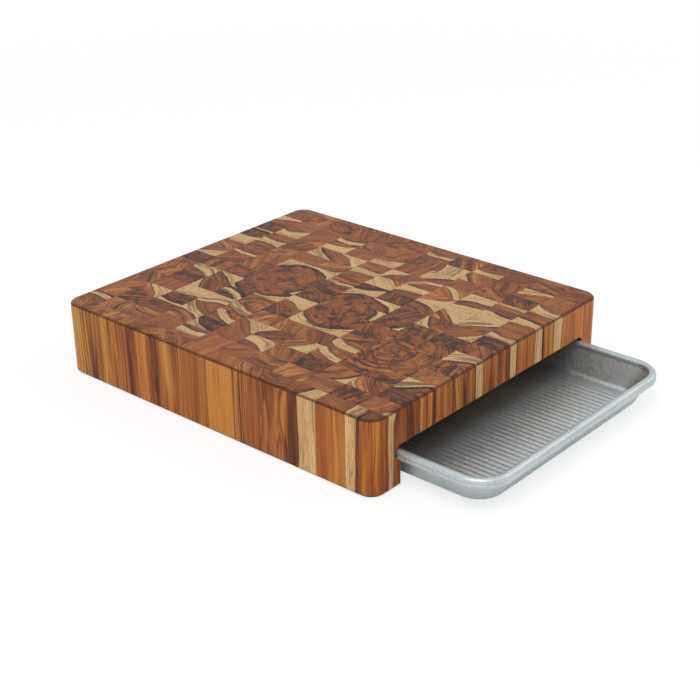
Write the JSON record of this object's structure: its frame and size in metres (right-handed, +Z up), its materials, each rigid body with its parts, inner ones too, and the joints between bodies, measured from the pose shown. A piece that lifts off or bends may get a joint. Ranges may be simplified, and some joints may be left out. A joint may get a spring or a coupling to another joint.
{
  "type": "cutting board with drawer tray",
  "caption": "End-grain wooden cutting board on side legs, with a ribbed sheet-metal drawer tray that slides out of grooves under the deck to catch scraps.",
  "frame": {"origin": "on the resting plane, under the middle of the box round the block and its drawn-out tray", "axes": "+Z up, -Y the front where the tray comes out, +X to the right of someone facing the front"},
  "size_m": [0.293, 0.419, 0.064],
  "materials": {
    "teak": "oiled, satin",
    "tray_metal": "aluminised, matte",
    "rim_wire": "drawn wire"
  },
  "bodies": {
    "board": {"strip_01": "teak", "strip_02": "teak", "strip_03": "teak", "strip_04": "teak", "strip_05": "teak", "strip_06": "teak", "strip_07": "teak", "strip_08": "teak", "strip_09": "teak", "strip_10": "teak", "strip_11": "teak", "strip_12": "teak"},
    "tray": {"tray_pan": "tray_metal", "rim_wire": "rim_wire"}
  },
  "joints": [
    {"name": "tray_slide", "type": "slide", "parent": "board", "child": "tray", "axis": [0, -1, 0], "range_m": [-0.0854, 0.25]}
  ]
}
